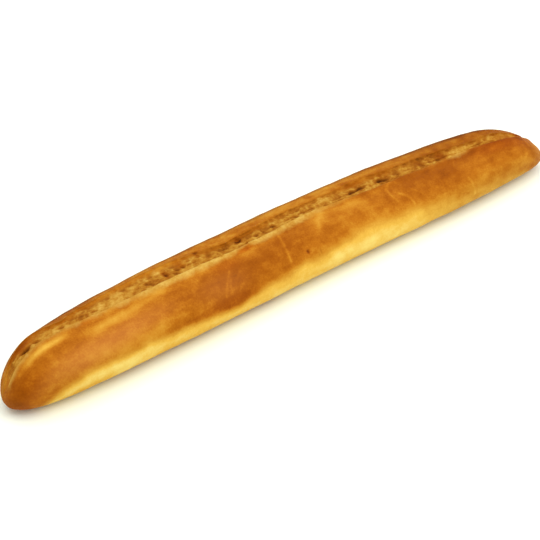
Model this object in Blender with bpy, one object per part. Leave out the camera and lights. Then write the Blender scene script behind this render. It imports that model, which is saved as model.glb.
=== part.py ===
"""A baguette: one long loaf of bread, opened along its top by a single cut.

The loaf is one solid. Its cross-sections are rounded D shapes, flat underneath, strung along
a slightly bowed centre line. The cut runs along the crown from one tip almost to the other:
a raised front lip, a torn floor of crumb and a low back lip. +X runs along the loaf, +Z is
up, the cut's front lip is on the -Y side, and the origin is on the resting surface under the
middle of the loaf's box.
"""

from collections import namedtuple

import bmesh
import bpy
import numpy as np

MM = 0.001

# Driving dimensions. Places along the loaf are counted from its middle, -X to +X.
LENGTH = 560 * MM
WIDEST_AT = 16.5 * MM  # height of the loaf's widest line
CROWN_POWER = 2.4  # roundness of the section above its widest line: 2 is an ellipse, more is squarer
FOOT_POWER = 2.1  # and below it
BOW = 10 * MM  # sideways bow of the centre line at mid length
FOOT_FRONT = -14 * MM  # the long edges of the flat that the loaf rests on
FOOT_BACK = 8 * MM
THIN_FOOT, WIDE_FOOT = 1 / 8, 1 / 2  # least and most of the half width that the flat takes on each side
HEEL = 0.4 * MM  # the underside leaves each end of the flat with this small rise
HEEL_RUN = 5 * MM

# Half width and height of the body, before its ends close: (place, size) in millimetres.
HALF_WIDTHS = ((-280, 34.5), (-235, 33.5), (-180, 35.5), (-120, 38), (-60, 39.5), (0, 40),
               (60, 40), (120, 40.5), (180, 39), (230, 36), (280, 36))
HEIGHTS = ((-280, 43.5), (-235, 44), (-180, 43), (-120, 43.5), (-60, 42), (0, 42.5), (60, 42),
           (110, 41.5), (170, 39), (230, 40.5), (280, 41.5))

# How each tip closes: the lengths over which the width, the height and the underside run
# in, the powers of those curves, the tip's own height, and its drift towards the front.
TIP_PARTS = "narrow_over narrow_power lower_over lower_power lift_over lift_power height drift"
Tip = namedtuple("Tip", TIP_PARTS)
BLUNT_TIP = Tip(108 * MM, 2.25, 37 * MM, 1.6, 45 * MM, 3.0, 12.5 * MM, 3 * MM)
LONG_TIP = Tip(110 * MM, 2.45, 53 * MM, 1.8, 60 * MM, 2.4, 6.5 * MM, 8 * MM)

# The cut, as offsets of its two lips from the centre line: (place, offset) in millimetres.
CUT_START = -277 * MM
CUT_END = 260 * MM
CUT_FADE = 12 * MM  # length over which the cut deepens from nothing at each end
FRONT_LIP = ((-280, 0), (-200, -0.5), (-150, -2.5), (-95, -4), (-40, -4.5), (15, -2),
             (75, -6.5), (200, -7), (233, -10), (260, -6))
BACK_LIP = ((-280, 2), (-262, 13), (-248, 17.5), (-220, 12.5), (-190, 17.5), (-105, 16.5),
            (-65, 10.5), (-15, 13.5), (30, 12.5), (60, 13), (82, 14.5), (108, 11), (165, 10),
            (200, 4.5), (240, 2.5), (260, -4))

LIP_RISE = 1.4 * MM  # the front lip stands proud of the body by this
LIP_RUN = 4.5 * MM  # and falls away to the crust over this
BACK_RISE = 0.4 * MM
FLOOR_DEPTH = 2.2 * MM
FLOOR_LUMPS = 0.7 * MM
LUMP_LENGTH = 19 * MM
# The floor across the cut: (share of the way from front lip to back lip, share of the depth)
FLOOR_SHAPE = ((0.05, 0.75), (0.16, 1.0), (0.34, 0.85), (0.52, 0.75), (0.7, 0.7), (0.86, 0.6),
               (0.96, 0.3))

# Fineness of the faceted solid
TIP_RUN = 30 * MM
TIP_RINGS = 9
BODY_RINGS = 88
FRONT_POINTS = 15
BACK_POINTS = 13
FINE_POINTS = 240  # points of each smooth curve that the rings are spaced out on
WIDTH_SAMPLES = 561

CRUST_COLOUR = (0.58, 0.27, 0.06, 1.0)
CRUST_ROUGHNESS = 0.5

Body = namedtuple("Body", "half_width top widest base centre foot_front foot_back")


def clear_scene():
    for old in list(bpy.data.objects):
        bpy.data.objects.remove(old, do_unlink=True)


def smooth_curve(places, x):
    """Smooth curve through (place, value) pairs in millimetres, read at x in metres."""
    at, value = (np.array(column, float) * MM for column in zip(*places))
    slope = np.gradient(value, at)
    x = np.clip(x, at[0], at[-1])
    i = np.clip(np.searchsorted(at, x) - 1, 0, len(at) - 2)
    span = at[i + 1] - at[i]
    t = (x - at[i]) / span
    rise = t * t * (3 - 2 * t)
    leave = t * (1 - t) ** 2 * span * slope[i]
    arrive = t * t * (t - 1) * span * slope[i + 1]
    return value[i] * (1 - rise) + value[i + 1] * rise + leave + arrive


def closing(distance, over, power):
    """1 along the body, falling to 0 at a tip in a round curve."""
    t = np.clip(distance / over, 0, 1)
    return (1 - (1 - t) ** power) ** (1 / power)


def both_tips(x, over, power):
    """The closing of both ends together; over and power are one value for each tip."""
    blunt = closing(x + LENGTH / 2, over[0], power[0])
    return blunt * closing(LENGTH / 2 - x, over[1], power[1])


def side_reach(x):
    """Half width of the body at x, and the centre line's offset before it is centred."""
    over = (BLUNT_TIP.narrow_over, LONG_TIP.narrow_over)
    narrow = both_tips(x, over, (BLUNT_TIP.narrow_power, LONG_TIP.narrow_power))
    tip = BLUNT_TIP if x < 0 else LONG_TIP
    near_tip = np.clip(1 - (LENGTH / 2 - abs(x)) / tip.narrow_over, 0, 1)
    bow = BOW * (1 - (2 * x / LENGTH) ** 2) - tip.drift * near_tip**2
    return smooth_curve(HALF_WIDTHS, x) * narrow, bow


def middle_of_width():
    """Middle of the whole loaf's width, which the X axis runs under."""
    reaches = [side_reach(x) for x in np.linspace(-LENGTH / 2, LENGTH / 2, WIDTH_SAMPLES)]
    back = max(bow + half for half, bow in reaches)
    front = min(bow - half for half, bow in reaches)
    return (back + front) / 2


def body_at(x):
    """Sizes of the cross-section at x, as the loaf would be without its cut."""
    tips = (BLUNT_TIP, LONG_TIP)
    lower = both_tips(x, [t.lower_over for t in tips], [t.lower_power for t in tips])
    lift = both_tips(x, [t.lift_over for t in tips], [t.lift_power for t in tips])
    tip = BLUNT_TIP if x < 0 else LONG_TIP
    half_width, bow = side_reach(x)
    centre = bow - MIDDLE
    beyond_flat = abs(x) - (LENGTH / 2 - tip.lift_over)
    heel = HEEL * np.clip(beyond_flat / HEEL_RUN, 0, 1)
    return Body(
        half_width=half_width,
        top=tip.height + (smooth_curve(HEIGHTS, x) - tip.height) * lower,
        widest=tip.height + (WIDEST_AT - tip.height) * lift,
        base=heel + (tip.height - heel) * (1 - lift),
        centre=centre,
        foot_front=np.clip(FOOT_FRONT - centre, -WIDE_FOOT * half_width, -THIN_FOOT * half_width),
        foot_back=np.clip(FOOT_BACK - centre, THIN_FOOT * half_width, WIDE_FOOT * half_width),
    )


def bulge(share, power):
    """Height of a round, from 1 at its middle to 0 at its side."""
    return (1 - np.clip(np.abs(share), 0, 1) ** power) ** (1 / power)


def crown(body, y):
    """Height of the uncut top at the offset y from the centre line."""
    return body.widest + (body.top - body.widest) * bulge(y / body.half_width, CROWN_POWER)


def foot_side(body, y, foot):
    """Height of the underside between the edge of its flat, at foot, and the widest line."""
    share = (y - foot) / (np.sign(foot) * body.half_width - foot)
    return body.widest - (body.widest - body.base) * bulge(share, FOOT_POWER)


def cut_at(body, x):
    """Offsets of the cut's front and back lips, and how far open it is, from 0 to 1."""
    front = np.clip(smooth_curve(FRONT_LIP, x), -0.7 * body.half_width, 0)
    back = np.clip(smooth_curve(BACK_LIP, x), -0.7 * body.half_width, 0.7 * body.half_width)
    back = max(back, front + 0.12 * body.half_width)
    ends = np.clip(min(x - CUT_START, CUT_END - x) / CUT_FADE, 0, 1)
    return front, back, ends * ends * (3 - 2 * ends)


def lip_rise(distance, rise):
    """How far the crust is lifted at a distance from a lip."""
    return rise * np.exp(-((distance / LIP_RUN) ** 2))


def spaced_out(y, z, count):
    """The outline through y and z, as count points the same way apart along it."""
    along = np.concatenate(([0], np.cumsum(np.hypot(np.diff(y), np.diff(z)))))
    wanted = np.linspace(0, along[-1], count)
    return list(zip(np.interp(wanted, along, y), np.interp(wanted, along, z)))


def crust_side(body, foot, lip, rise, count):
    """Outline from an edge of the flat, round that side and up to the lip."""
    turn = np.sin(np.linspace(0, np.pi / 2, FINE_POINTS))
    side = np.sign(foot) * body.half_width
    out = foot + (side - foot) * turn
    inward = lip + (side - lip) * turn[-2::-1]
    top = crown(body, inward) + lip_rise(inward - lip, rise)
    return spaced_out(np.append(out, inward), np.append(foot_side(body, out, foot), top), count)


def torn_floor(body, x, front, back, openness):
    """Points of the cut's floor, from the front lip to the back lip."""
    points = []
    for across, share in FLOOR_SHAPE:
        y = front + across * (back - front)
        lump = np.sin(x / LUMP_LENGTH * 2 * np.pi + 5 * across) * np.sin(x / LUMP_LENGTH + 9 * across)
        depth = share * (FLOOR_DEPTH + FLOOR_LUMPS * lump)
        points.append((y, crown(body, y) - openness * depth))
    return points


def ring_at(x):
    """One closed cross-section: front side, cut, then back side down to the flat."""
    body = body_at(x)
    front, back, openness = cut_at(body, x)
    front_side = crust_side(body, body.foot_front, front, LIP_RISE * openness, FRONT_POINTS)
    back_side = crust_side(body, body.foot_back, back, BACK_RISE * openness, BACK_POINTS)
    floor = torn_floor(body, x, front, back, openness)
    outline = front_side + floor + back_side[::-1]
    return [(x, body.centre + y, z) for y, z in outline]


def ring_places():
    """Places of the rings: even along the body, crowding towards the tips."""
    crowding = (np.arange(1, TIP_RINGS + 1) / TIP_RINGS) ** 2 * TIP_RUN
    body = np.linspace(-LENGTH / 2 + TIP_RUN, LENGTH / 2 - TIP_RUN, BODY_RINGS)
    near = -LENGTH / 2 + crowding[:-1]
    far = LENGTH / 2 - crowding[:-1]
    return np.concatenate((near, body, far[::-1]))


def tip_point(side):
    """The point that closes a tip."""
    body = body_at(side * LENGTH / 2)
    return (side * LENGTH / 2, body.centre, body.widest)


def loft(mesh, rings, tips):
    """Bridge the rings one after another and close both tips."""
    edges = []
    for ring in rings:
        corners = [mesh.verts.new(point) for point in ring]
        pairs = zip(corners, corners[1:] + corners[:1])
        edges.append([mesh.edges.new(pair) for pair in pairs])
    for near, far in zip(edges, edges[1:]):
        bmesh.ops.bridge_loops(mesh, edges=near + far)
    for loop, tip in ((edges[0], tips[0]), (edges[-1], tips[1])):
        point = mesh.verts.new(tip)
        for edge in loop:
            mesh.faces.new((*edge.verts, point))
    bmesh.ops.triangulate(mesh, faces=mesh.faces[:])
    bmesh.ops.recalc_face_normals(mesh, faces=mesh.faces[:])


def crust_material():
    material = bpy.data.materials.new("crust")
    material.use_nodes = True
    shader = material.node_tree.nodes["Principled BSDF"]
    shader.inputs["Base Color"].default_value = CRUST_COLOUR
    shader.inputs["Roughness"].default_value = CRUST_ROUGHNESS
    shader.inputs["Metallic"].default_value = 0.0
    return material


def make_baguette():
    mesh = bmesh.new()
    loft(mesh, [ring_at(x) for x in ring_places()], [tip_point(-1), tip_point(1)])
    data = bpy.data.meshes.new("baguette")
    mesh.to_mesh(data)
    mesh.free()
    data.shade_smooth()
    data.materials.append(crust_material())
    loaf = bpy.data.objects.new("baguette", data)
    bpy.context.collection.objects.link(loaf)
    return loaf


MIDDLE = middle_of_width()
clear_scene()
make_baguette()
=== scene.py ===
"""Looks of the baguette: a fine crust and torn cut over the CAD loaf, its finish, and the studio.

The loaf is one closed mesh, made of rings along it. A place on it is given as (along, around):
along is the distance from the loaf's middle towards +X, and around is the distance over the
surface from the crown, positive down the front (-Y) and negative down the back. Both are in
millimetres in the lists below.
"""

from collections import namedtuple
from itertools import product

import bpy
import numpy as np
from mathutils import Matrix, Vector, noise


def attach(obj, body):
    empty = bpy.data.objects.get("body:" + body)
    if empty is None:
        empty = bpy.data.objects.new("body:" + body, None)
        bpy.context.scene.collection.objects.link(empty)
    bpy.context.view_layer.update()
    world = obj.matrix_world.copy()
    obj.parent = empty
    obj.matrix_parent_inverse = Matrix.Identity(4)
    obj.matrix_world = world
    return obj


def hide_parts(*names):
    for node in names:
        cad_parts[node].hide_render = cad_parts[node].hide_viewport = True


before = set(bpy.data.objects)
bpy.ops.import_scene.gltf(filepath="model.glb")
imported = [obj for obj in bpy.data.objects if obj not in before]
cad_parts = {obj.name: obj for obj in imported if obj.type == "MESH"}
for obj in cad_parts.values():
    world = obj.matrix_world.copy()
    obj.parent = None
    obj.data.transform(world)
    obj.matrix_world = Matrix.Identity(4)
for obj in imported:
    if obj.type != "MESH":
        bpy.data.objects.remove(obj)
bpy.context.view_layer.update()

MM = 0.001

# ---- The loaf's form, with the CAD part's sizes ------------------------------------------

LENGTH = 560 * MM
WIDEST_AT = 16.5 * MM  # height of the loaf's widest line
CROWN_POWER = 2.4  # roundness of the section above that line: 2 is an ellipse, more is squarer
FOOT_POWER = 2.1  # and below it
BOW = 10 * MM  # sideways bow of the centre line at mid length
FOOT_FRONT = -14 * MM  # the long edges of the flat that the loaf rests on
FOOT_BACK = 8 * MM
THIN_FOOT, WIDE_FOOT = 1 / 8, 1 / 2  # least and most of the half width that the flat takes
HEEL = 0.4 * MM  # the underside leaves each end of the flat with this small rise
HEEL_RUN = 5 * MM
# Half width and height of the body, before its ends close: (place, size).
HALF_WIDTHS = ((-280, 34.5), (-235, 33.5), (-180, 35.5), (-120, 38), (-60, 39.5), (0, 40),
               (60, 40), (120, 40.5), (180, 39), (230, 36), (280, 36))
HEIGHTS = ((-280, 43.5), (-235, 44), (-180, 43), (-120, 43.5), (-60, 42), (0, 42.5), (60, 42),
           (110, 41.5), (170, 39), (230, 40.5), (280, 41.5))
# How each tip closes: the lengths over which the width, the height and the underside run
# in, the powers of those curves, the tip's own height, and its drift towards the front.
TIP_PARTS = "narrow_over narrow_power lower_over lower_power lift_over lift_power height drift"
Tip = namedtuple("Tip", TIP_PARTS)
BLUNT_TIP = Tip(108 * MM, 2.25, 37 * MM, 1.6, 45 * MM, 3.0, 12.5 * MM, 3 * MM)
LONG_TIP = Tip(110 * MM, 2.45, 53 * MM, 1.8, 60 * MM, 2.4, 6.5 * MM, 8 * MM)
# The cut, as offsets of its two lips from the centre line: (place, offset).
CUT_START = -277 * MM
CUT_END = 260 * MM
CUT_FADE = 12 * MM  # length over which the cut deepens from nothing at each end
FRONT_LIP = ((-280, 0), (-200, -0.5), (-150, -2.5), (-95, -4), (-40, -4.5), (15, -2),
             (75, -6.5), (200, -7), (233, -10), (260, -6))
BACK_LIP = ((-280, 2), (-262, 13), (-248, 17.5), (-220, 12.5), (-190, 17.5), (-105, 16.5),
            (-65, 10.5), (-15, 13.5), (30, 12.5), (60, 13), (82, 14.5), (108, 11), (165, 10),
            (200, 4.5), (240, 2.5), (260, -4))
LIP_LIMIT = 0.7  # the lips stay within this share of the half width
FRONT_LIMIT = 0.3 * MM  # and the front lip goes no further back than this
THIN_CUT = 0.12  # least width of the cut, as a share of the half width
LIP_RISE = 1.4 * MM  # the front lip stands proud of the body by this
LIP_RUN = 4.5 * MM  # and falls away to the crust over this
BACK_RISE = 0.4 * MM  # rise of the back lip
FLOOR_DEPTH = 2.2 * MM  # depth of the torn floor below the uncut crown
# The floor across the cut: (share of the way from front lip to back lip, share of the depth).
FLOOR_SHAPE = ((0, -0.64), (0.025, 0.2), (0.06, 0.85), (0.16, 1.0), (0.34, 0.85), (0.52, 0.75),
               (0.7, 0.7), (0.86, 0.6), (0.94, 0.35), (0.985, 0.0), (1, -0.18))

# ---- Fineness of the mesh ----------------------------------------------------------------

TIP_RUN = 12 * MM  # the rings crowd together over this much of each tip
TIP_RINGS = 14
BODY_RINGS = 584
FRONT_POINTS = 64
CUT_POINTS = 48
BACK_POINTS = 42
FOOT_POINTS = 5
CURVE_POINTS = 400  # points of each smooth curve that the rings are spaced out on
WIDTH_SAMPLES = 561
LIP_ZONE = 7 * MM  # the mesh is finest within this of a lip
LIP_STEP, SIDE_STEP = 0.45, 1.3  # how its spacing compares there and on the sides
CUT_CROWDING = 0.07  # how much the cut's points gather towards its lips
UNDER_AROUND = 20 * MM  # the underside is taken to lie this far round past the flat's edges

# ---- The crust, by place -----------------------------------------------------------------

# Brownness goes from 0, the palest crust, to 1, the darkest. It depends on the distance round
# from the crown down the front, and on the place along the loaf down the back.
CROWN_BROWN = ((0, 0.74), (6, 0.72), (10, 0.7), (15, 0.72), (25, 0.73), (30, 0.7), (36, 0.62),
               (50, 0.6))
BACK_BROWN = ((-280, 0.76), (-210, 0.76), (-170, 0.66), (-130, 0.6), (-50, 0.61), (20, 0.54),
              (60, 0.58), (110, 0.63), (150, 0.68), (190, 0.74), (280, 0.76))
# Above the foot the crust pales in a band: (distance past the band's upper edge, brownness).
FOOT_BAND = ((-14, 0.74), (-6, 0.68), (-2, 0.55), (1, 0.38), (4, 0.2), (8, 0.11), (30, 0.12),
             (42, 0.3))
# By place, the band's upper edge round the front, how far its blend is drawn out, and how
# strong it is. The back has one edge and one strength.
FOOT_EDGE = ((-280, 50), (-250, 41), (-200, 41), (-165, 42.5), (-150, 44.5), (-120, 47),
             (-97, 50), (-78, 47.5), (-50, 44.5), (0, 41), (60, 38.5), (100, 39), (140, 42),
             (200, 44), (280, 42))
FOOT_BLUR = ((-280, 1), (-230, 0.8), (-150, 0.6), (-60, 0.6), (0, 1), (280, 1.1))
FOOT_STRENGTH = ((-280, 0), (-262, 0), (-250, 0.8), (-242, 1), (100, 1), (130, 0.86),
                 (165, 0.68), (205, 0.68), (240, 0.6), (280, 0.45))
BACK_EDGE, BACK_STRENGTH = 43.5, 0.55
UNDER_BROWN = 0.5  # brownness of the underside
BAND_START = (-10 * MM, -2 * MM)  # the band sets in between these distances from its edge
UNDER_START = (36 * MM, 46 * MM)  # and gives way to the underside's brown between these
BAND_WOBBLE = 1.6 * MM  # how unevenly its edge runs
BAND_LUMPS = (17 * MM, 41)  # size and seed of that unevenness
# Browner and paler patches: (along, around, half length, half width, change). Two broad
# paler ones on the front near the blunt end are painted sheen.
CRUST_PATCHES = (
    (-274, 22, 16, 17, 0.25),
    (-267, -6, 14, 8, -0.22),
    (-264, 18, 14, 12, -0.09),
    (-258, 30, 12, 8, -0.08),
    (-256, 51, 7, 6, -0.2),
    (-255, -12, 9, 4, 0.18),
    (-244, 5.5, 17, 2.8, -0.5),
    (-238, 47, 8, 4, -0.05),
    (-224, 54, 18, 4, 0.17),
    (-219, 14, 9, 4, 0.08),
    (-218, 43, 26, 5, -0.07),
    # painted sheen
    (-215, 28, 45, 9, -0.08),
    (-205, 51, 40, 6, -0.08),
    (-185, 13.5, 28, 4.2, -0.34),
    (-184, 6, 9, 4, -0.12),
    (-172, 38, 20, 5, -0.12),
    (-160, 24, 9, 4, 0.06),
    (-160, 46, 9, 4, 0.06),
    (-152, 9, 14, 4, -0.2),
    # painted sheen
    (-150, 27, 38, 9, -0.05),
    (-140, 41, 12, 3, 0.1),
    (-136, 15, 14, 7, -0.06),
    (-122, 10, 24, 5, -0.12),
    (-95, 43, 20, 5, 0.12),
    (-86, 38, 30, 7, 0.13),
    (-85, 26, 26, 11, 0.16),
    (-70, 50, 40, 5, 0.06),
    (-62, 14, 10, 6, -0.12),
    (-48, 20, 10, 8, 0.08),
    (-22, 18, 16, 8, 0.06),
    (-2, 44, 10, 5, 0.14),
    (16, 54, 10, 4, -0.08),
    (30, 14, 28, 9, -0.14),
    (55, 31, 26, 8, -0.1),
    (60, 11, 14, 5, -0.1),
    (60, 51, 40, 7, -0.06),
    (68, 8, 10, 3, 0.14),
    (128, 10, 8, 4, 0.08),
    (132, 11, 44, 7, 0.17),
    (140, 25, 35, 8, 0.1),
    (150, 48, 60, 6, 0.08),
    (182, 11, 16, 4, 0.13),
    (184, 38, 14, 5, -0.08),
    (190, 24, 14, 8, -0.06),
    (218, 10, 32, 3.2, 0.16),
    (228, 16, 24, 8, 0.08),
    (229, 33, 12, 8, -0.07),
    (240, 53, 14, 5, -0.12),
    (242, 26, 18, 12, -0.1),
    (250, 10, 8, 2.5, 0.15),
    (256, 4, 3.5, 3, 0.3),
    (257, 25, 7, 8, 0.05),
    (264, 16, 8, 12, -0.12),
)
# Redder places: (along, around, half length, half width, how red).
RED_PATCHES = (
    (-264, 20, 14, 12, 0.25),
    (-252, -12, 9, 4, 0.5),
    (-205, 3, 8, 2, 0.5),
    (-124, -8, 2.5, 6, 0.6),
    (-109, -10, 5, 5, 0.4),
    (-95, 44, 30, 5, 0.4),
    (-89.5, -14.5, 2, 2.5, 0.6),
    (-80, 15, 12, 5, 0.4),
    (-57, 8.6, 7, 1.6, 0.8),
    (-51.5, -7.5, 3, 3, 1.0),
    (-10.8, 34.9, 2, 2, 1),
    (171, -3, 4, 6, 0.3),
    (225, 13, 28, 7, 0.6),
    (226, 8, 18, 2.2, 0.3),
    (255, 4.5, 4, 3.5, 0.7),
)
# Painted sheen, a dull rosy haze: (along, around, half length, half width, share).
SHEEN_PATCHES = (
    (-215, 28, 38, 9, 0.3),
    (-165, 25, 26, 8, 0.16),
    (-95, 30, 22, 10, 0.14),
)
# Small dark pits: (along, around, half length, half width, depth and darkness).
SPECKS = (
    (-89.5, -14.5, 1.6, 2.2, 1.6),
    (-10.8, 34.9, 1.4, 1.4, 1.2),
    (-2.5, 41, 0.6, 1.6, 0.2),
    (0.5, 39.5, 0.7, 2.4, 0.25),
)
# Painted shade near the far tip: (along, around, half length, half width, share).
PAINTED_SHADE_PATCHES = ((259, 23, 8, 12, 0.23),)
# By place, how much painted shade darkens the back and the front's foot, and how far round
# the back a stripe of stronger painted shade starts, where the back turns from the light.
PAINTED_BACK_SHADE = ((-280, 0.12), (-250, 0.14), (-210, 0.22), (-170, 0.08), (-130, 0.06), (60, 0.07),
               (110, 0.12), (150, 0.2), (190, 0.25), (280, 0.25))
PAINTED_FOOT_SHADE = ((-280, 0), (90, 0), (150, 0.1), (200, 0.17), (280, 0.2))
BACK_DARKENS = ((-280, 9), (-250, 15), (-220, 17), (-190, 20), (-120, 22), (0, 23), (140, 22),
                (190, 18), (220, 14), (250, 7), (280, 2))
BACK_DARKENING = 0.65  # how dark the stripe's painted shade is
STRIPE_START, STRIPE_END = (0, 8 * MM), (6 * MM, 20 * MM)  # where it sets in, where it fades
STRIPE_FADE = 0.85  # by this share
STRIPE_WOBBLE = 2 * MM  # how unevenly its edge runs
PAINTED_FOOT_SHADE_FROM = (28 * MM, 42 * MM)  # painted shade darkens the front's foot below these
# Pale stretch marks: points (along, around) of each, its half width and how pale it is.
CREASES = (
    (((-196, 22), (-180, 23), (-160, 26)), 1.0, 0.06),
    (((-172, 31), (-150, 33), (-132, 37)), 1.0, 0.06),
    (((-160, 24), (-140, 25.5), (-122, 29)), 1.0, 0.07),
    (((-124, 12), (-118, 20), (-120, 26)), 1.2, 0.08),
    (((-115, 20), (-104, 13), (-97, 8)), 2.4, 0.1),
    (((-86, 28), (-89, 33), (-91, 38)), 0.9, 0.1),
    (((-82, 21), (-89, 28), (-94, 34), (-96, 39)), 1.1, 0.14),
    (((-74, 24), (-82, 31), (-90, 38)), 1.0, 0.1),
    (((-66, 27), (-75, 33), (-84, 40)), 1.0, 0.07),
    (((-23.5, 11), (-25.5, 19), (-28, 27), (-30, 36)), 1.3, 0.19),
    (((12, 19), (17, 12.5), (24, 8)), 2.4, 0.12),
    (((99, 22), (103.5, 27), (105.5, 32), (106, 36)), 1.3, 0.16),
    (((100, 8), (92, 13), (90.5, 20), (92.5, 27)), 1.6, 0.14),
    (((112, 22), (118, 29), (121, 35)), 1.1, 0.08),
    (((168, 17), (171, 13), (175, 9)), 1.2, 0.1),
    (((171.5, 33), (173, 41), (173.5, 49)), 1.3, 0.13),
    (((189, 21), (193, 18), (199, 15)), 1.1, 0.07),
    (((257, 3), (256.5, 10), (254.5, 19)), 1.2, 0.12),
)
# Furrows across the crust: points (along, around) of each, its half width and its depth.
FURROWS = ((((258.5, 7.5), (262.5, 2), (267, -4)), 1.1, 2.1),)
# Dents and bumps: (along, around, half length, half width, depth).
DENTS = ((258, 1.5, 4, 3.5, -0.5), (265.6, 5.5, 2, 3, -0.8), (-277.5, -1.5, 1.5, 1.2, 0.6))

# ---- The lips of the cut, by place -------------------------------------------------------

# How far down the front the torn dough of the lip reaches, how much it shows, and its tone.
LIP_REACH = ((-280, 3.2), (-250, 3), (-200, 3.5), (-165, 6), (-150, 8), (-125, 8.5), (-90, 9.5),
             (-60, 8.5), (-42, 9.5), (-20, 9), (10, 8), (20, 6.5), (60, 7), (170, 8), (180, 9),
             (192, 8.5), (280, 8))
LIP_PALENESS = ((-280, 0), (-277, 0.2), (-275, 0.85), (-262, 0.8), (-250, 0.6), (-205, 0.65),
                (-188, 0.85), (-165, 0.8), (-130, 1), (-20, 0.95), (5, 0.85), (30, 0.65),
                (60, 0.6), (165, 0.5), (172, 0.75), (190, 0.8), (197, 0), (280, 0))
LIP_TONE = ((-280, 0.75), (-262, 0.75), (-250, 0.74), (-165, 0.79), (-100, 0.8), (-20, 0.78),
            (20, 0.74), (60, 0.66), (165, 0.65), (172, 0.8), (190, 0.8), (200, 0.66))
BACK_LIP_TONE = 0.5  # tone of the back lip's dough
LIP_SHARE = 0.95  # most of the lip that is dough rather than crust
# How dark the back lip's edge is made, with painted shade on the crumb below it,
# and how softly dough and crust meet there.
BACK_SHADE = ((-280, 0.1), (-120, 0.1), (-75, 0.9), (-30, 0.8), (20, 0.6), (75, 1), (180, 1),
              (220, 0.3), (280, 0))
BACK_SOFTNESS = ((-280, 1), (-110, 0.9), (-80, 0.4), (20, 0.3), (60, 0.2), (180, 0.2),
                 (215, 0.6), (280, 0.8))
FOLD_START, FOLD_END = -76 * MM, -49.5 * MM  # the lip tears away upwards along here
FOLD_REACH = 4 * MM  # how much less far the dough reaches where it has torn
FOLD_STEP = (0.3 * MM, 0.5 * MM)  # the step runs from this before the fold's end to this after
FOLD_SINK, FOLD_RISE = 0.3 * MM, 0.5 * MM  # depth before the step and height after it
FOLD_WIDTH, FOLD_AFTER = 6 * MM, 5 * MM  # how far it fades out, from the lip and past the step
FOLD_POWER = 1.5  # how slowly the tear sets in along the fold
FOLD_AFTER_CUT = 0.45  # share of it that is left just past the step
LIP_WOBBLE = 1.6 * MM  # how unevenly the lip's dough ends
LIP_BLEND = (-4 * MM, 2.5 * MM)  # dough blends into crust between these, about its reach
LIP_BEHIND = -3 * MM  # none of it lies further back than this
LIP_MOTTLING = 0.16  # how uneven its tone is
# Dough past the back lip: how far it reaches, give or take, at least, and how much it shows.
BACK_REACH, BACK_WOBBLE, LEAST_REACH = 1.8 * MM, 1.6 * MM, 0.4 * MM
BACK_DOUGH = 0.7
BACK_EDGE_BROWN, BACK_EDGE_WIDTH = 0.14, 2.2 * MM  # a darker band of crust beside it

# ---- The torn floor of the cut -----------------------------------------------------------

# The tear's deepest line, a broken crevice: (along, around).
CREVICE = ((-262, -6.3), (-240, -6.4), (-150, -6), (-60, -4.8), (20, -4.5), (60, -3.5),
           (105, -3.6), (150, -2), (200, 1), (250, 1))
CREVICE_WIDTH, CREVICE_DEPTH = 0.9, 0.7  # in millimetres
CREVICE_BREAKS = (6 * MM, 73)  # size of the lumps that break it up, and their seed
CREVICE_SHOWS = (0, 0.5)  # it comes in as those lumps rise from the one to the other
# Deep holes, and in two places raised crumb: (along, around, half length, half width, depth).
POCKETS = (
    (-262, -6.5, 4, 2, -0.9),
    (-254, -6.6, 3.2, 0.9, 1.1),
    (-248.7, -6, 1.8, 2, -0.9),
    (-243.5, -5.8, 2.6, 1.4, 1.0),
    (-206, -6.5, 9, 4, 0.5),
    (-141, -6, 2.5, 1.8, 0.9),
    (-124, -7, 1.6, 5, 0.9),
    (-117, -2.8, 2.2, 1.5, 1.0),
    (-108, -5.5, 2.4, 1.8, 1.2),
    (-97, -5, 2.5, 1.6, 0.7),
    (-82, -5, 3, 1.8, 0.7),
    (-71, -4.5, 3, 1.6, 0.6),
    (-51.5, -7.2, 2.2, 2.3, 2.2),
    (-36, -4, 3, 1.3, 1.1),
    (-28, -4.5, 1.6, 1.6, 0.6),
    (-16, -4.5, 2.5, 2.4, 0.9),
    (8, -3.8, 3, 1.3, 0.9),
    (15, -5, 2, 1.6, 0.9),
    (68, -2.8, 7, 1.9, 1.6),
    (79, -3, 4, 1.6, 0.7),
    (99, -3, 4.5, 2.2, 2.2),
    (104, -1, 2, 2, 0.8),
    (118, -2, 3, 1.8, 0.5),
    (148, -1, 3, 3, 0.4),
    (170, -2, 4, 5, 0.5),
)
# Paler and browner crumb: (along, around, half length, half width, change).
CRUMB_PATCHES = (
    (-255, -3, 11, 2.2, 0.22),
    (-252, -13, 9, 5, 0.06),
    (-236, -6, 9, 6, 0.17),
    (-218, -3, 14, 5, 0.16),
    (-204, -8, 7, 4, -0.16),
    (-201, -12.5, 2.5, 1.5, 0.25),
    (-183, -7, 10, 7, 0.2),
    (-168, -13, 4, 2.5, 0.2),
    (-166, -6, 12, 6, 0.14),
    (-155, -12, 3, 2.2, 0.25),
    (-155, -9, 6, 3, 0.1),
    (-141, -6, 4, 3, -0.1),
    (-136, -10, 6, 3, 0.08),
    (-127, -13, 2.5, 2, 0.3),
    (-110, -10, 5, 4, -0.16),
    (-76, -3, 20, 2.5, 0.1),
    (-60, -9, 22, 2.5, -0.12),
    (-51.5, -7.5, 3, 3, -0.3),
    (-17, -5, 3, 3, -0.15),
    (-8, -6, 14, 5, 0.12),
    (42, -6, 16, 5, 0.04),
    (53, -3, 4, 3, 0.14),
    (76, -10, 14, 3.5, 0.02),
    (94, -7, 3.5, 5, 0.08),
    (112, -5, 7, 5, -0.06),
    (131, -4, 7, 5, 0.2),
    (146, -5, 4, 5, -0.1),
    (158, -3, 7, 5, 0.06),
    (171, -4, 4, 6, -0.16),
    (187, 0, 8, 6, 0.24),
    (205, -1, 8, 4, 0.07),
    (226, 7.5, 16, 1.4, -0.25),
    (232, 0, 16, 5, 0.05),
)
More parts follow.
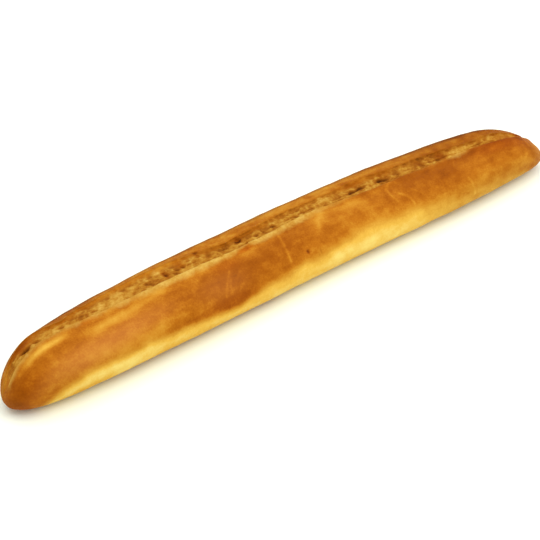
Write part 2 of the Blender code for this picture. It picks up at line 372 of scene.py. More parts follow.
SMOOTHING, SMOOTHEST = 3.5, 0.8  # paler crumb is smoother, by up to this share
FLOOR_CLOUDING = 0.1  # how much broad clouds change the tone
HOLE_SHADE = 0.25  # how much painted shade darkens a hole, for each millimetre of its depth
# Shares of the way across the floor: where its relief sets in past the front lip and before
# the back lip, where painted shade from the back lip lies on it, and where it turns to crust.
FRONT_BARING, BACK_BARING = 0.07, 0.08
BACK_EDGING = (0.72, 0.97)
BACK_CRUST = (0.62, 1.05)
BACK_EDGE_SHADE = 0.12  # how much darker that painted shade is
CRUMB_SHOWS = (0.1, 0.6)  # crumb shows as the cut opens from the one to the other
# How far holes and patches are shifted, along and around: (reach, size of the lumps, seed).
SHIFTS = ((1.6 * MM, 5 * MM, 71), (MM, 4 * MM, 72))
# Where the floor is browned like crust: (along, around, half length, half width, share).
BAKED_PATCHES = (
    (-251, -13.5, 11, 5, 0.9),
    (-214, -12, 10, 3, 0.5),
    (-108, -11, 5, 5, 0.4),
    (-60, -9.5, 26, 1.6, 0.5),
    (-28, -10, 10, 2.5, 0.4),
    (78, -11, 19, 3.6, 0.85),
    (110, -8, 8, 5, 0.55),
    (146, -6, 4, 5, 0.5),
    (171, -5, 4.5, 6, 0.6),
    (240, 3, 14, 3, 0.4),
)
PORE_LENGTH, PORE_WIDTH = 5.5 * MM, 4 * MM
PORE_WALL = (0.02, 0.3)  # a wall fades between these differences of distance to two pores
STREAK_LEAN = 0.5  # the streaks lean this far towards the far tip, for each step back
STREAK_STRETCH = 3.5  # and are this many times longer than wide

# ---- Unevenness --------------------------------------------------------------------------

# Smooth noise: how many random heights it takes its lumps from, the large primes that scatter
# them, and how layers of it are turned and brought back to between about -1 and 1.
LUMP_HEIGHTS = 4096
SCATTERING = (73856093, 19349663, 83492791)
LAYER_TURN = np.array(Matrix.Rotation(0.6, 3, Vector((1, 2, 3))))
LAYERS_HEIGHT = 1.6
PATCH_POWER, PATCH_FADE = 1.3, 0.8  # how squarely a patch ends, and how soon
SMALLEST = 1e-12

# Waves of the cut's lips: (how far they reach, their length, seed).
FRONT_WAVES = ((0.7, 9, 3.1), (0.3, 3, 1.9))
BACK_WAVES = ((1.6, 8, 7.7),)
# Relief of the crust: (height, size of its lumps, seed).
CRUST_LUMPS = ((0.3, 26, 11), (0.16, 9, 12), (0.05, 3, 13))
CREASE_RISE = 0.9 * MM  # height of a stretch mark, for a paleness of 1

# Layers of lumps, the largest of them size across.
Layers = namedtuple("Layers", "size seed count")
RAGS = Layers(7 * MM, 21, 4)
FLOOR_STREAKS = Layers(4 * MM, 25, 3)
FLOOR_CLOUDS = Layers(16 * MM, 31, 2)
CRUST_CLOUDS = Layers(34 * MM, 51, 2)
CRUST_MOTTLE = Layers(9 * MM, 52, 3)
CRUST_GRAIN = Layers(4 * MM, 54, 3)
CRUST_STREAKS = Layers(5 * MM, 58, 3)
LIP_EDGE = Layers(8 * MM, 53, 3)
BACK_LIP_EDGE = Layers(5 * MM, 57, 3)
LIP_CRUMB = Layers(6 * MM, 61, 3)
STRIPE_EDGE = Layers(14 * MM, 59, 2)
GRAIN_STRETCH = (0.3, 1, 1)  # the crust's grain runs along the loaf
CLOUDING, MOTTLING, GRAINING, STREAKING = 0.08, 0.1, 0.12, 0.1  # how much each changes the tone
STREAKS_END = (-32 * MM, -22 * MM)  # the back's streaks fade out between these
PALE_MOTTLE = 0.5  # share of all this that shows on the palest crust
PALE_TO_BROWN = (0.1, 0.5)  # the rest comes in between these tones
FLAT_FOOT, FLAT_TIP = 3 * MM, 4 * MM  # relief sets in over this, from the flat and the tips
# How rags, pores, the walls between them and streaks change the floor's height, in
# millimetres, and its tone about the mean.
RELIEF_SHARES = (0.65, 0.5, 0.25)
TONE_SHARES = (0.2, 0.16, 0.08)
STREAK_RELIEF, STREAK_TONE = 0.3, 0.18
MEAN_PORE = 0.45  # mean distance to the middle of a pore, in pores
MEAN_CRUMB = 0.46  # mean tone of the crumb

# ---- Finish ------------------------------------------------------------------------------

# Colours by tone, from 0 to 1.
CRUST_COLOURS = ((0, (227, 199, 108)), (0.15, (217, 170, 66)), (0.35, (195, 138, 43)),
                 (0.5, (185, 121, 29)), (0.65, (169, 98, 14)), (0.8, (150, 79, 4)),
                 (0.9, (142, 72, 2)), (1, (130, 64, 1)))
CRUMB_COLOURS = ((0, (72, 33, 3)), (0.25, (122, 66, 9)), (0.45, (150, 89, 20)),
                 (0.6, (171, 116, 35)), (0.75, (189, 142, 57)), (1, (208, 173, 87)))
REDDENING = (0.98, 0.72, 0.35, 1)  # what the colour is multiplied by where it is red
SPECK_AND_SHADE_TINT = (0.42, 0.35, 0.28, 1)  # and where dark specks and painted shade lie
# The colour that the painted sheen mixes in.
SHEEN_COLOUR = (198, 124, 66)
CRUST_ROUGHNESS, MATT_ROUGHNESS, CRUMB_ROUGHNESS = 0.6, 0.82, 0.9
MATT_BACK = (-2 * MM, 12 * MM)  # the crust turns matt from the one to the other, down the back
REFRACTION = 1.45
GLOSS, GLOSS_TINT = 0.1, (1.0, 0.8, 0.4, 1.0)
# Fine noise: (scale, detail, roughness).
MOTTLE_NOISE = (120, 4, 0.55)
GRAIN_NOISE = (700, 3, 0.55)
PORE_NOISE = (420, 4, 0.65)
# How much the noise changes the crust's tone, from where it is palest to where it is brown.
CRUST_UNEVENNESS = {"From Min": 0.1, "From Max": 0.6, "To Min": 0.15, "To Max": 0.33}
CRUMB_PORES, CRUMB_GRAINS = 0.45, 0.15  # how much pores and grain change the crumb's tone
EDGE_PORES = 0.3  # and how much pores break up the crumb's edge
EDGE_BLEND = {"From Min": 0.05, "From Max": 0.95}  # crumb covers crust between these shares
ROUGHNESS_MOTTLE = 0.2  # how much the mottle changes the roughness
CRUST_FINE_RISE, CRUMB_FINE_RISE = 0.12 * MM, 0.6 * MM  # heights of the finest relief

# ---- Studio ------------------------------------------------------------------------------

FLOOR_SIZE = 6.0
FLOOR_COLOUR = (0.9, 0.94, 0.82, 1)
FLOOR_ROUGHNESS, FLOOR_GLOSS = 0.9, 0.1
SKY_COLOUR = (1, 1, 1, 1)
SKY_STRENGTH = 0.8
# Softboxes: name, place, aim, (width, depth), power, colour
LAMPS = (
    ("overhead", (0, 0, 1.6), (0, 0, 0), (2.4, 2.4), 24.0, (1, 1, 1)),
    ("key", (0.7, -1.0, 1.0), (0, 0, 0), (1.4, 1.0), 6.6, (1, 1, 1)),
)
# The photograph's view: degrees round and up, what it looks at, from how far, and its lens.
VIEW_AZIMUTH = -39.395
VIEW_ELEVATION = 36.0
VIEW_AIM = (-0.0389, -0.0172, 0.02)
VIEW_DISTANCE = 1.0513
SENSOR = 36.0
LENS = 87.28


# ---- The form ----------------------------------------------------------------------------

Body = namedtuple("Body", "half_width top widest base centre foot_front foot_back")


def smooth_curve(places, x):
    """Smooth curve through (place, value) pairs in millimetres, read at x in metres."""
    at, value = (np.array(column, float) * MM for column in zip(*places))
    slope = np.gradient(value, at)
    x = np.clip(x, at[0], at[-1])
    i = np.clip(np.searchsorted(at, x) - 1, 0, len(at) - 2)
    span = at[i + 1] - at[i]
    t = (x - at[i]) / span
    rise = t * t * (3 - 2 * t)
    leave = t * (1 - t) ** 2 * span * slope[i]
    arrive = t * t * (t - 1) * span * slope[i + 1]
    return value[i] * (1 - rise) + value[i + 1] * rise + leave + arrive


def softly(low, high, value):
    """0 below low, 1 above high, smooth between."""
    t = np.clip((value - low) / (high - low), 0, 1)
    return t * t * (3 - 2 * t)


def closing(distance, over, power):
    """1 along the body, falling to 0 at a tip in a round curve."""
    t = np.clip(distance / over, 0, 1)
    return (1 - (1 - t) ** power) ** (1 / power)


def both_tips(x, over, power):
    """The closing of both ends together; over and power are one value for each tip."""
    blunt = closing(x + LENGTH / 2, over[0], power[0])
    return blunt * closing(LENGTH / 2 - x, over[1], power[1])


def side_reach(x):
    """Half width of the body at x, and the centre line's offset before it is centred."""
    over = (BLUNT_TIP.narrow_over, LONG_TIP.narrow_over)
    narrow = both_tips(x, over, (BLUNT_TIP.narrow_power, LONG_TIP.narrow_power))
    tip = BLUNT_TIP if x < 0 else LONG_TIP
    near_tip = np.clip(1 - (LENGTH / 2 - abs(x)) / tip.narrow_over, 0, 1)
    bow = BOW * (1 - (2 * x / LENGTH) ** 2) - tip.drift * near_tip**2
    return smooth_curve(HALF_WIDTHS, x) * narrow, bow


def middle_of_width():
    """Middle of the whole loaf's width, before it is centred over the X axis."""
    reaches = [side_reach(x) for x in np.linspace(-LENGTH / 2, LENGTH / 2, WIDTH_SAMPLES)]
    back = max(bow + half for half, bow in reaches)
    front = min(bow - half for half, bow in reaches)
    return (back + front) / 2


MIDDLE = middle_of_width()


def body_at(x):
    """Sizes of the cross-section at x, as the loaf would be without its cut."""
    tips = (BLUNT_TIP, LONG_TIP)
    lower = both_tips(x, [t.lower_over for t in tips], [t.lower_power for t in tips])
    lift = both_tips(x, [t.lift_over for t in tips], [t.lift_power for t in tips])
    tip = BLUNT_TIP if x < 0 else LONG_TIP
    half_width, bow = side_reach(x)
    centre = bow - MIDDLE
    beyond_flat = abs(x) - (LENGTH / 2 - tip.lift_over)
    heel = HEEL * np.clip(beyond_flat / HEEL_RUN, 0, 1)
    return Body(
        half_width=half_width,
        top=tip.height + (smooth_curve(HEIGHTS, x) - tip.height) * lower,
        widest=tip.height + (WIDEST_AT - tip.height) * lift,
        base=heel + (tip.height - heel) * (1 - lift),
        centre=centre,
        foot_front=np.clip(FOOT_FRONT - centre, -WIDE_FOOT * half_width, -THIN_FOOT * half_width),
        foot_back=np.clip(FOOT_BACK - centre, THIN_FOOT * half_width, WIDE_FOOT * half_width),
    )


def bulge(share, power):
    """Height of a round, from 1 at its middle to 0 at its side."""
    return (1 - np.clip(np.abs(share), 0, 1) ** power) ** (1 / power)


def crown(body, y):
    """Height of the uncut top at the offset y from the centre line."""
    return body.widest + (body.top - body.widest) * bulge(y / body.half_width, CROWN_POWER)


def foot_side(body, y, foot):
    """Height of the underside between the edge of its flat, at foot, and the widest line."""
    share = (y - foot) / (np.sign(foot) * body.half_width - foot)
    return body.widest - (body.widest - body.base) * bulge(share, FOOT_POWER)


def wavering(x, waves):
    """Smooth unevenness along the loaf: the sum of some waves."""
    each = [(reach * MM, Vector((x / (length * MM), seed, 0.5))) for reach, length, seed in waves]
    return sum(reach * noise.noise(at) for reach, at in each)


def cut_at(body, x):
    """Offsets of the cut's front and back lips, and how far open it is, from 0 to 1."""
    limit = LIP_LIMIT * body.half_width
    front = np.clip(smooth_curve(FRONT_LIP, x) + wavering(x, FRONT_WAVES), -limit, FRONT_LIMIT)
    back = np.clip(smooth_curve(BACK_LIP, x) + wavering(x, BACK_WAVES), -limit, limit)
    back = max(back, front + THIN_CUT * body.half_width)
    return front, back, softly(0, CUT_FADE, min(x - CUT_START, CUT_END - x))


def lip_rise(distance, rise):
    """How far the crust is lifted at a distance from a lip."""
    return rise * np.exp(-((distance / LIP_RUN) ** 2))


def along_outline(y, z):
    """Distance from the first point of an outline to each of its points."""
    return np.append(0, np.cumsum(np.hypot(np.diff(y), np.diff(z))))


def around_at(body, y):
    """Distance over the uncut top from the crown to the offset y."""
    fine = body.half_width * np.sin(np.linspace(0, np.pi / 2, CURVE_POINTS))
    return -np.sign(y) * np.interp(np.abs(y), fine, along_outline(fine, crown(body, fine)))


def crust_side(body, foot, lip, rise, count):
    """Columns of (y, z, around) from an edge of the flat, round that side and up to the lip."""
    turn = np.sin(np.linspace(0, np.pi / 2, CURVE_POINTS))
    side = np.sign(foot) * body.half_width
    out = foot + (side - foot) * turn
    inward = lip + (side - lip) * turn[-2::-1]
    y = np.append(out, inward)
    z = np.append(foot_side(body, out, foot), crown(body, inward))
    along = along_outline(y, z)
    to_lip = along[-1] - along
    around = around_at(body, lip) - np.sign(foot) * to_lip
    z[CURVE_POINTS:] += lip_rise(inward - lip, rise)
    step = np.where(to_lip < LIP_ZONE, LIP_STEP, SIDE_STEP)
    paces = np.append(0, np.cumsum(np.diff(along) / step[1:]))
    wanted = np.linspace(0, paces[-1], count)
    return np.array([np.interp(wanted, paces, row) for row in (y, z, around)])


def cut_floor(body, front, back, openness):
    """Columns of (y, z, around, across) over the cut, between its two lips."""
    across = np.linspace(0, 1, CUT_POINTS + 2)[1:-1]
    across = across - CUT_CROWDING * np.sin(2 * np.pi * across) / np.pi
    y = front + across * (back - front)
    share = np.interp(across, *zip(*FLOOR_SHAPE))
    z = crown(body, y) - openness * share * FLOOR_DEPTH
    return np.array([y, z, around_at(body, y), across])


def foot_strip(body, front_edge, back_edge):
    """Columns of (y, z, around) over the flat underside, from its back edge to its front."""
    share = np.linspace(0, 1, FOOT_POINTS + 2)[1:-1]
    y = body.foot_back + share * (body.foot_front - body.foot_back)
    around = np.where(share < 0.5, back_edge - UNDER_AROUND, front_edge + UNDER_AROUND)
    return np.array([y, np.full_like(y, body.base), around])


def ring_at(x):
    """Columns of one closed cross-section: x, y, z, around, across, openness."""
    body = body_at(x)
    front, back, openness = cut_at(body, x)
    front_side = crust_side(body, body.foot_front, front, LIP_RISE * openness, FRONT_POINTS)
    back_side = crust_side(body, body.foot_back, back, BACK_RISE * openness, BACK_POINTS)[:, ::-1]
    floor = cut_floor(body, front, back, openness)
    foot = foot_strip(body, front_side[2, 0], back_side[2, -1])
    y, z, around = np.hstack((front_side, floor[:3], back_side, foot))
    across = np.concatenate((np.zeros(FRONT_POINTS), floor[3], np.ones(BACK_POINTS + FOOT_POINTS)))
    return np.array([x + 0 * y, body.centre + y, z, around, across, openness + 0 * y])


def ring_places():
    """Places of the rings: even along the body, crowding towards the tips."""
    crowding = (np.arange(1, TIP_RINGS + 1) / TIP_RINGS) ** 2 * TIP_RUN
    body = np.linspace(-LENGTH / 2 + TIP_RUN, LENGTH / 2 - TIP_RUN, BODY_RINGS)
    near = -LENGTH / 2 + crowding[:-1]
    far = LENGTH / 2 - crowding[:-1]
    return np.concatenate((near, body, far[::-1]))


def outward(points):
    """Normals of the surface through a grid of points, ring after ring."""
    along = np.gradient(points, axis=0)
    up = np.roll(points, -1, axis=1) - np.roll(points, 1, axis=1)
    normal = np.cross(along, up)
    return normal / np.maximum(np.linalg.norm(normal, axis=2, keepdims=True), SMALLEST)


# ---- Unevenness and marks ----------------------------------------------------------------


def read(table, at):
    """A table of (place in millimetres, value) pairs, read at a place in metres."""
    return np.interp(at / MM, *zip(*table))


def lumps(points, size, seed):
    """Smooth unevenness between -1 and 1 at the points, in lumps about size across."""
    table = np.random.default_rng(seed).uniform(-1, 1, LUMP_HEIGHTS)
    scaled = points / size
    cell = np.floor(scaled).astype(np.int64)
    t = softly(0, 1, scaled - cell)
    total = 0
    for corner in product((0, 1), repeat=3):
        share = np.prod(np.where(np.array(corner) == 1, t, 1 - t), axis=-1)
        total = total + share * table[((cell + corner) @ SCATTERING) % LUMP_HEIGHTS]
    return total


def layered(points, layers):
    """Lumps of several sizes together, each layer half the size and half the height."""
    turned = points @ LAYER_TURN
    each = [lumps(turned, layers.size / 2**k, layers.seed + k) / 2**k for k in range(layers.count)]
    return sum(each) / LAYERS_HEIGHT


def weighted(shares, parts):
    """The sum of the parts, each times its share."""
    return sum(share * part for share, part in zip(shares, parts))


def patch(place, at, half):
    """A soft oval patch: 1 at its middle, fading out past its half sizes. All in metres."""
    near = sum(((p - a) / h) ** 2 for p, a, h in zip(place, at, half))
    return np.exp(-(near**PATCH_POWER) * PATCH_FADE)


def patches(place, rows):
    """The summed change of a list of patches."""
    total = 0
    for along, around, half_length, half_width, change in rows:
        at = (along * MM, around * MM)
        total = total + change * patch(place, at, (half_length * MM, half_width * MM))
    return total


def line_distance(place, start, end):
    """Distance from each place to the straight line from start to end."""
    run = np.array(end) - start
    reach = ((place[0] - start[0]) * run[0] + (place[1] - start[1]) * run[1]) / (run @ run)
    reach = np.clip(reach, 0, 1)
    return np.hypot(place[0] - start[0] - reach * run[0], place[1] - start[1] - reach * run[1])


def line_marks(place, rows):
    """How much each place lies on one of the marks in rows."""
    total = 0
    for points, half_width, strength in rows:
        points = np.array(points) * MM
        near = [line_distance(place, start, end) for start, end in zip(points, points[1:])]
        total = total + strength * np.exp(-((np.min(near, axis=0) / (half_width * MM)) ** 2))
    return total


# ---- Relief and tone ---------------------------------------------------------------------


def torn_cells(points):
    """Open pores of the crumb: 0 in the middle of a pore, rising to the walls between them."""
    scaled = points * (1 / PORE_LENGTH, 1 / PORE_WIDTH, 1 / PORE_WIDTH)
    near = [noise.voronoi(Vector(p))[0][:2] for p in scaled.reshape(-1, 3)]
    near = np.array(near).reshape(*points.shape[:2], 2)
    wall = 1 - softly(*PORE_WALL, near[..., 1] - near[..., 0])
    return near[..., 0], wall


def torn_streaks(points, layers):
    """Unevenness drawn out across the loaf, leaning towards the far tip."""
    x, y, z = np.moveaxis(points, -1, 0)
    leaning = np.stack((x - STREAK_LEAN * y, y / STREAK_STRETCH, z / STREAK_STRETCH), -1)
    return layered(leaning, layers)


def floor_holes(points, shifted, x):
    """Depth of the holes and the crevice in the torn floor, in millimetres."""
    line = (shifted[1] / MM - read(CREVICE, x)) / CREVICE_WIDTH
    crevice = np.exp(-(line**2)) * softly(*CREVICE_SHOWS, lumps(points, *CREVICE_BREAKS))
    return patches(shifted, POCKETS) + CREVICE_DEPTH * crevice


def floor_relief(points, place, across, openness):
    """Height and tone of the torn crumb with its painted shade, and how bare it lies."""
    moves = [reach * lumps(points, size, seed) for reach, size, seed in SHIFTS]
    shifted = (place[0] + moves[0], place[1] + moves[1])
    holes = floor_holes(points, shifted, place[0])
    change = patches(shifted, CRUMB_PATCHES)
    open_crumb = 1 - np.clip(SMOOTHING * change, 0, SMOOTHEST)
    pore, wall = torn_cells(points)
    parts = (layered(points, RAGS), pore - MEAN_PORE, wall)
    rough, mottle = weighted(RELIEF_SHARES, parts), weighted(TONE_SHARES, parts)
    streaks = torn_streaks(points, FLOOR_STREAKS)
    height = open_crumb * rough + STREAK_RELIEF * streaks - holes
    tone = MEAN_CRUMB + open_crumb * mottle + STREAK_TONE * streaks + change
    # Painted shade in the holes and the crevice, the deeper the darker.
    tone = tone + FLOOR_CLOUDING * layered(points, FLOOR_CLOUDS) - HOLE_SHADE * holes
    # Painted shade on the crumb below the back lip.
    back_edge = read(BACK_SHADE, place[0]) * softly(*BACK_EDGING, across)
    bare = softly(0, FRONT_BARING, across) * softly(0, BACK_BARING, 1 - across) * openness
    return height * MM * bare, np.clip(tone - BACK_EDGE_SHADE * back_edge, 0, 1), bare


def crust_relief(points, place, fold):
    """Height of the crust about its plain form."""
    height = sum(rise * MM * lumps(points, size * MM, seed) for rise, size, seed in CRUST_LUMPS)
    height += CREASE_RISE * line_marks(place, CREASES) - MM * line_marks(place, FURROWS)
    return height + fold - MM * patches(place, SPECKS + DENTS)


def lip_fold(place, from_lip):
    """A step where one flap of crust overlaps the next: (its height, how far it cuts the lip)."""
    x = place[0]
    share = np.clip((x - FOLD_START) / (FOLD_END - FOLD_START), 0, 1)
    before = 1 - softly(FOLD_END - FOLD_STEP[0], FOLD_END + FOLD_STEP[1], x)
    after = (1 - before) * np.exp(-np.clip(x - FOLD_END, 0, None) / FOLD_AFTER)
    near = np.exp(-np.clip(from_lip, 0, None) / FOLD_WIDTH)
    height = FOLD_RISE * after - FOLD_SINK * share**2 * before
    return height * near, share**FOLD_POWER * before + FOLD_AFTER_CUT * after


def round_tone(place):
    """Brownness of the crust by how far round the loaf it is."""
    x, around = place
    side = np.abs(around)
    on_front = around > 0
    edge = np.where(on_front, read(FOOT_EDGE, x), BACK_EDGE) * MM
    wobble = BAND_WOBBLE * lumps(np.stack((x, side, 0 * x), -1), *BAND_LUMPS)
    past = (side - edge + wobble) / read(FOOT_BLUR, x)
    upper = np.where(on_front, read(CROWN_BROWN, side), read(BACK_BROWN, x))
    strength = np.where(on_front, read(FOOT_STRENGTH, x), BACK_STRENGTH)
    strength = strength * softly(*BAND_START, past)
    lower = upper + (read(FOOT_BAND, past) - upper) * strength
    return lower + (UNDER_BROWN - lower) * softly(*UNDER_START, past)


def lip_paleness(points, place, fold_cut):
    """How much the crust beside the front lip is torn dough rather than crust."""
    x, around = place
    reach = read(LIP_REACH, x) * MM - FOLD_REACH * fold_cut
    past = around - reach - LIP_WOBBLE * layered(points, LIP_EDGE)
    return read(LIP_PALENESS, x) * (1 - softly(*LIP_BLEND, past)) * (around > LIP_BEHIND)


def back_softness(points, place, from_lip):
    """How much torn dough shows past the back lip."""
    x, around = place
    reach = BACK_REACH + BACK_WOBBLE * torn_streaks(points, BACK_LIP_EDGE)
    near = np.exp(-((np.clip(from_lip, 0, None) / np.maximum(reach, LEAST_REACH)) ** 2))
    return BACK_DOUGH * near * read(BACK_SOFTNESS, x) * (around < 0)


def crust_tone(points, place, from_lip):
    """Brownness of the crust: 0 is pale gold, 1 the darkest brown."""
    x, around = place
    on_back = around < 0
    tone = round_tone(place) + patches(place, CRUST_PATCHES)
    mottle = CLOUDING * layered(points, CRUST_CLOUDS) + MOTTLING * layered(points, CRUST_MOTTLE)
    mottle += GRAINING * layered(points * GRAIN_STRETCH, CRUST_GRAIN)
    streaked = softly(*STREAKS_END, around) * on_back
    mottle += STREAKING * torn_streaks(points, CRUST_STREAKS) * streaked
    tone = tone + mottle * (PALE_MOTTLE + (1 - PALE_MOTTLE) * softly(*PALE_TO_BROWN, tone))
    by_lip = np.exp(-((np.clip(from_lip, 0, None) / BACK_EDGE_WIDTH) ** 2)) * on_back
    tone = tone + BACK_EDGE_BROWN * by_lip * read(BACK_SHADE, x)
    return np.clip(tone - line_marks(place, CREASES), 0, 1)


def specks_and_shade(points, place):
    """Dark specks, and painted shade on the back, far foot and tip, from 0 to 1."""
    x, around = place
    # A stripe of painted shade where the back turns from the light.
    past = -around - read(BACK_DARKENS, x) * MM + STRIPE_WOBBLE * layered(points, STRIPE_EDGE)
    stripe = softly(*STRIPE_START, past) * (1 - STRIPE_FADE * softly(*STRIPE_END, past))
    back = read(PAINTED_BACK_SHADE, x) * (around < 0) + BACK_DARKENING * stripe
    foot = read(PAINTED_FOOT_SHADE, x) * softly(*PAINTED_FOOT_SHADE_FROM, around)
    return np.clip(back + foot + patches(place, SPECKS + PAINTED_SHADE_PATCHES), 0, 1)


def tip_point(side):
    """The point that closes a tip."""
    body = body_at(side * LENGTH / 2)
    return (side * LENGTH / 2, body.centre, body.widest)


def loaf_grid():
    """The loaf's surface as a grid of points, with its tones by name."""
    columns = np.array([ring_at(x) for x in ring_places()])
    points = columns[:, :3].transpose(0, 2, 1)
    around, across, openness = columns[:, 3:].transpose(1, 0, 2)
    place = (points[..., 0], around)
    cut = slice(FRONT_POINTS, FRONT_POINTS + CUT_POINTS)
    floor_place = (place[0][:, cut], around[:, cut])
    front_lip, back_lip = around[:, cut.start - 1, None], around[:, cut.stop, None]
    from_lip = np.maximum(around - front_lip, back_lip - around)

    fold, fold_cut = lip_fold(place, from_lip)
    height = crust_relief(points, place, fold * (around > 0))
    floor = floor_relief(points[:, cut], floor_place, across[:, cut], openness[:, cut])
    floor_height, floor_tone, bare = floor
    height[:, cut] = height[:, cut] * (1 - bare) + floor_height
    height *= softly(0, FLAT_FOOT, points[..., 2])
    height *= softly(0, FLAT_TIP, LENGTH / 2 - abs(place[0]))

    crumb = LIP_SHARE * lip_paleness(points, place, fold_cut)
    crumb += back_softness(points, place, from_lip)
    hidden = read(BACK_SOFTNESS, floor_place[0]) * softly(*BACK_CRUST, across[:, cut])
    baked = np.clip(patches(floor_place, BAKED_PATCHES), 0, 1)
    crumb[:, cut] = softly(*CRUMB_SHOWS, openness[:, cut]) * (1 - hidden) * (1 - baked)
    crumb_tone = np.where(around > 0, read(LIP_TONE, place[0]), BACK_LIP_TONE)
    crumb_tone += LIP_MOTTLING * layered(points, LIP_CRUMB)
    crumb_tone[:, cut] = floor_tone
    tones = {
        "crust_tone": crust_tone(points, place, from_lip),
        "crumb": crumb,
        "crumb_tone": crumb_tone,
        "redness": np.clip(patches(place, RED_PATCHES), 0, 1),
        # Dark specks with painted shade, and painted sheen, where the crust shows.
        "specks_and_shade": specks_and_shade(points, place) * (1 - crumb),
        "painted_sheen": np.clip(patches(place, SHEEN_PATCHES), 0, 1) * (1 - crumb),
        "matt": softly(*MATT_BACK, -around),
    }
    moved = points + outward(points) * height[..., None]
    moved[..., 2] = np.maximum(moved[..., 2], 0)
    return moved, tones


def closed_mesh(points, tips):
    """A mesh from rings of points, closed by a point at each end."""
    rings, count = points.shape[:2]
    vertices = np.vstack((points.reshape(-1, 3), tips))
    index = np.arange(rings * count).reshape(rings, count)
    following = np.roll(index, -1, axis=1)
    sides = np.stack((index[:-1], index[1:], following[1:], following[:-1]), -1)
    faces = sides.reshape(-1, 4).tolist()
    faces += [(rings * count, a, b) for a, b in zip(index[0], following[0])]
    faces += [(rings * count + 1, b, a) for a, b in zip(index[-1], following[-1])]
    mesh = bpy.data.meshes.new("loaf")
    mesh.from_pydata(vertices.tolist(), [], [tuple(int(i) for i in face) for face in faces])
    mesh.shade_smooth()
    return mesh


def store(mesh, name, values):
    """Keep a value for each vertex; the two tips take the mean of the ring beside them."""
    values = np.append(values.ravel(), (values[0].mean(), values[-1].mean()))
    attribute = mesh.attributes.new(name, "FLOAT", "POINT")
    attribute.data.foreach_set("value", values.astype(np.float32))


# ---- Materials ---------------------------------------------------------------------------


def linear(colour):
    """An sRGB colour of 0 to 255 as the linear colour that a shader takes."""
    c = np.array(colour) / 255
    return (*np.where(c > 0.04045, ((c + 0.055) / 1.055) ** 2.4, c / 12.92), 1.0)


def add(tree, kind, inputs, **settings):
    """A shader node with its settings, and its inputs given as values or as sockets."""
    node = tree.nodes.new("ShaderNode" + kind)
    for name, value in settings.items():
        setattr(node, name, value)
    for name, value in inputs.items():
        socket = node.inputs[name]
        if isinstance(value, bpy.types.NodeSocket):
            tree.links.new(value, socket)
        else:
            socket.default_value = value
    return node


def varied(tree, value, amounts):
    """The value with some of each noise added to it; amounts are pairs (noise, amount)."""
    for noise_value, amount in amounts:
        centred = add(tree, "Math", {0: noise_value, 1: -0.5}, operation="ADD").outputs[0]
        terms = {0: centred, 1: amount, 2: value}
        value = add(tree, "Math", terms, operation="MULTIPLY_ADD").outputs[0]
    return value


def coloured(tree, value, stops):
    """The value turned to a colour; stops are pairs (place, sRGB colour)."""
    ramp = add(tree, "ValToRGB", {"Fac": value})
    elements = ramp.color_ramp.elements
    while len(elements) < len(stops):
        elements.new(0.5)
    for element, (at, colour) in zip(elements, stops):
        element.position = at
        element.color = linear(colour)
    return ramp.outputs["Color"]


def fine_noise(tree, place, scale, detail, roughness):
    inputs = {"Vector": place, "Scale": scale, "Detail": detail, "Roughness": roughness}
    return add(tree, "TexNoise", inputs).outputs["Fac"]


def attribute(tree, name):
    return add(tree, "Attribute", {}, attribute_name=name).outputs["Fac"]


def remapped(tree, value, limits):
    """The value carried over from one range to another, which limits name."""
    return add(tree, "MapRange", {"Value": value, **limits}).outputs["Result"]


def scaled(tree, value, by):
    return add(tree, "Math", {0: value, 1: by}, operation="MULTIPLY").outputs[0]


def mixed(tree, share, first, second):
    """first where share is 0, second where it is 1, for single values."""
    return add(tree, "Mix", {"Factor": share, "A": first, "B": second}).outputs["Result"]


def mixed_colour(tree, share, first, second, way="MIX"):
    """The same for colours; the way is MIX, or MULTIPLY for second as a tint of first."""
    inputs = {"Fac": share, "Color1": first, "Color2": second}
    return add(tree, "MixRGB", inputs, blend_type=way).outputs[0]


def bread_colour(tree, crumb, mottle, grain, pores):
    """Crust and crumb by tone, with redder places, painted sheen, dark specks and painted shade.
    """
    crust_tone = attribute(tree, "crust_tone")
    uneven = remapped(tree, crust_tone, CRUST_UNEVENNESS)
    crust_tone = varied(tree, crust_tone, ((mottle, uneven), (grain, uneven)))
    amounts = ((pores, CRUMB_PORES), (grain, CRUMB_GRAINS))
    crumb_tone = varied(tree, attribute(tree, "crumb_tone"), amounts)
    crust = coloured(tree, crust_tone, CRUST_COLOURS)
    colour = mixed_colour(tree, crumb, crust, coloured(tree, crumb_tone, CRUMB_COLOURS))
    colour = mixed_colour(tree, attribute(tree, "redness"), colour, REDDENING, "MULTIPLY")
    # Painted sheen on the front crust.
    colour = mixed_colour(tree, attribute(tree, "painted_sheen"), colour, linear(SHEEN_COLOUR))
    # Painted shade on the back, far foot and tip, and real dark specks.
    return mixed_colour(tree, attribute(tree, "specks_and_shade"), colour, SPECK_AND_SHADE_TINT, "MULTIPLY")


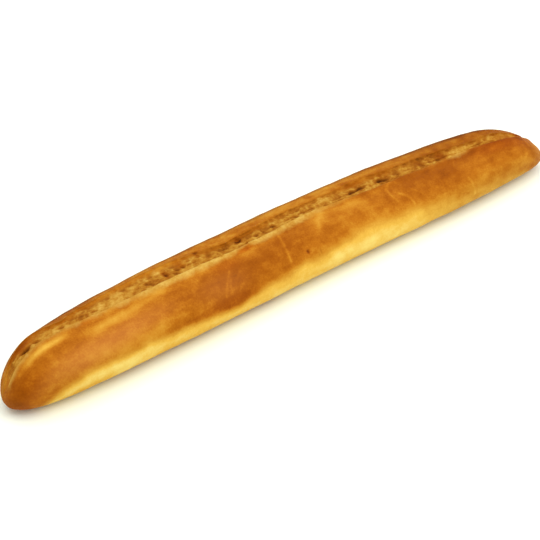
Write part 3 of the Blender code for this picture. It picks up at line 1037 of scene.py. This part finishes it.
def bread_material():
    material = bpy.data.materials.new("bread")
    material.use_nodes = True
    tree = material.node_tree
    place = add(tree, "TexCoord", {}).outputs["Object"]
    mottle = fine_noise(tree, place, *MOTTLE_NOISE)
    grain = fine_noise(tree, place, *GRAIN_NOISE)
    pores = fine_noise(tree, place, *PORE_NOISE)
    crumb = varied(tree, attribute(tree, "crumb"), ((pores, EDGE_PORES),))
    crumb = remapped(tree, crumb, EDGE_BLEND)
    colour = bread_colour(tree, crumb, mottle, grain, pores)
    crust_rough = mixed(tree, attribute(tree, "matt"), CRUST_ROUGHNESS, MATT_ROUGHNESS)
    rough = mixed(tree, crumb, crust_rough, CRUMB_ROUGHNESS)
    rough = varied(tree, rough, ((mottle, ROUGHNESS_MOTTLE),))
    crust_rise = scaled(tree, grain, CRUST_FINE_RISE)
    rise = mixed(tree, crumb, crust_rise, scaled(tree, pores, CRUMB_FINE_RISE))
    bump = add(tree, "Bump", {"Strength": 1.0, "Distance": 1.0, "Height": rise})
    shader = tree.nodes["Principled BSDF"]
    tree.links.new(colour, shader.inputs["Base Color"])
    tree.links.new(rough, shader.inputs["Roughness"])
    tree.links.new(bump.outputs["Normal"], shader.inputs["Normal"])
    shader.inputs["IOR"].default_value = REFRACTION
    shader.inputs["Specular IOR Level"].default_value = GLOSS
    shader.inputs["Specular Tint"].default_value = GLOSS_TINT
    return material


def make_loaf():
    points, tones = loaf_grid()
    mesh = closed_mesh(points, (tip_point(-1), tip_point(1)))
    for name, values in tones.items():
        store(mesh, name, values)
    mesh.materials.append(bread_material())
    loaf = bpy.data.objects.new("loaf", mesh)
    bpy.context.collection.objects.link(loaf)
    return loaf


# ---- Studio ------------------------------------------------------------------------------


def make_floor():
    mesh = bpy.data.meshes.new("floor")
    half = FLOOR_SIZE / 2
    corners = [(-half, -half, 0), (half, -half, 0), (half, half, 0), (-half, half, 0)]
    mesh.from_pydata(corners, [], [(0, 1, 2, 3)])
    material = bpy.data.materials.new("pale_floor")
    material.use_nodes = True
    shader = material.node_tree.nodes["Principled BSDF"]
    shader.inputs["Base Color"].default_value = FLOOR_COLOUR
    shader.inputs["Roughness"].default_value = FLOOR_ROUGHNESS
    shader.inputs["Specular IOR Level"].default_value = FLOOR_GLOSS
    mesh.materials.append(material)
    floor = bpy.data.objects.new("floor", mesh)
    bpy.context.collection.objects.link(floor)
    return floor


def turned_to(place, aim):
    """The matrix of a camera or light at place that looks at aim."""
    turn = (Vector(aim) - Vector(place)).to_track_quat("-Z", "Y")
    return Matrix.Translation(place) @ turn.to_matrix().to_4x4()


def add_light(name, place, aim, size, power, colour):
    light = bpy.data.lights.new(name, "AREA")
    light.shape = "RECTANGLE"
    light.size, light.size_y = size
    light.energy = power
    light.color = colour
    lamp = bpy.data.objects.new(name, light)
    lamp.matrix_world = turned_to(place, aim)
    bpy.context.collection.objects.link(lamp)


def light_studio():
    scene = bpy.context.scene
    scene.view_settings.view_transform = "Standard"
    scene.view_settings.look = "None"
    world = bpy.data.worlds.new("studio")
    world.use_nodes = True
    world.node_tree.nodes["Background"].inputs["Color"].default_value = SKY_COLOUR
    world.node_tree.nodes["Background"].inputs["Strength"].default_value = SKY_STRENGTH
    scene.world = world
    for lamp in LAMPS:
        add_light(*lamp)


def add_camera():
    camera = bpy.data.cameras.new("camera")
    camera.sensor_width = SENSOR
    camera.lens = LENS
    turn, rise = np.radians(VIEW_AZIMUTH), np.radians(VIEW_ELEVATION)
    back = Vector((np.sin(turn) * np.cos(rise), -np.cos(turn) * np.cos(rise), np.sin(rise)))
    viewer = bpy.data.objects.new("camera", camera)
    viewer.matrix_world = turned_to(Vector(VIEW_AIM) + VIEW_DISTANCE * back, VIEW_AIM)
    bpy.context.collection.objects.link(viewer)
    bpy.context.scene.camera = viewer


loaf = make_loaf()
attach(loaf, "root")
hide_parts("baguette")
make_floor()
light_studio()
add_camera()
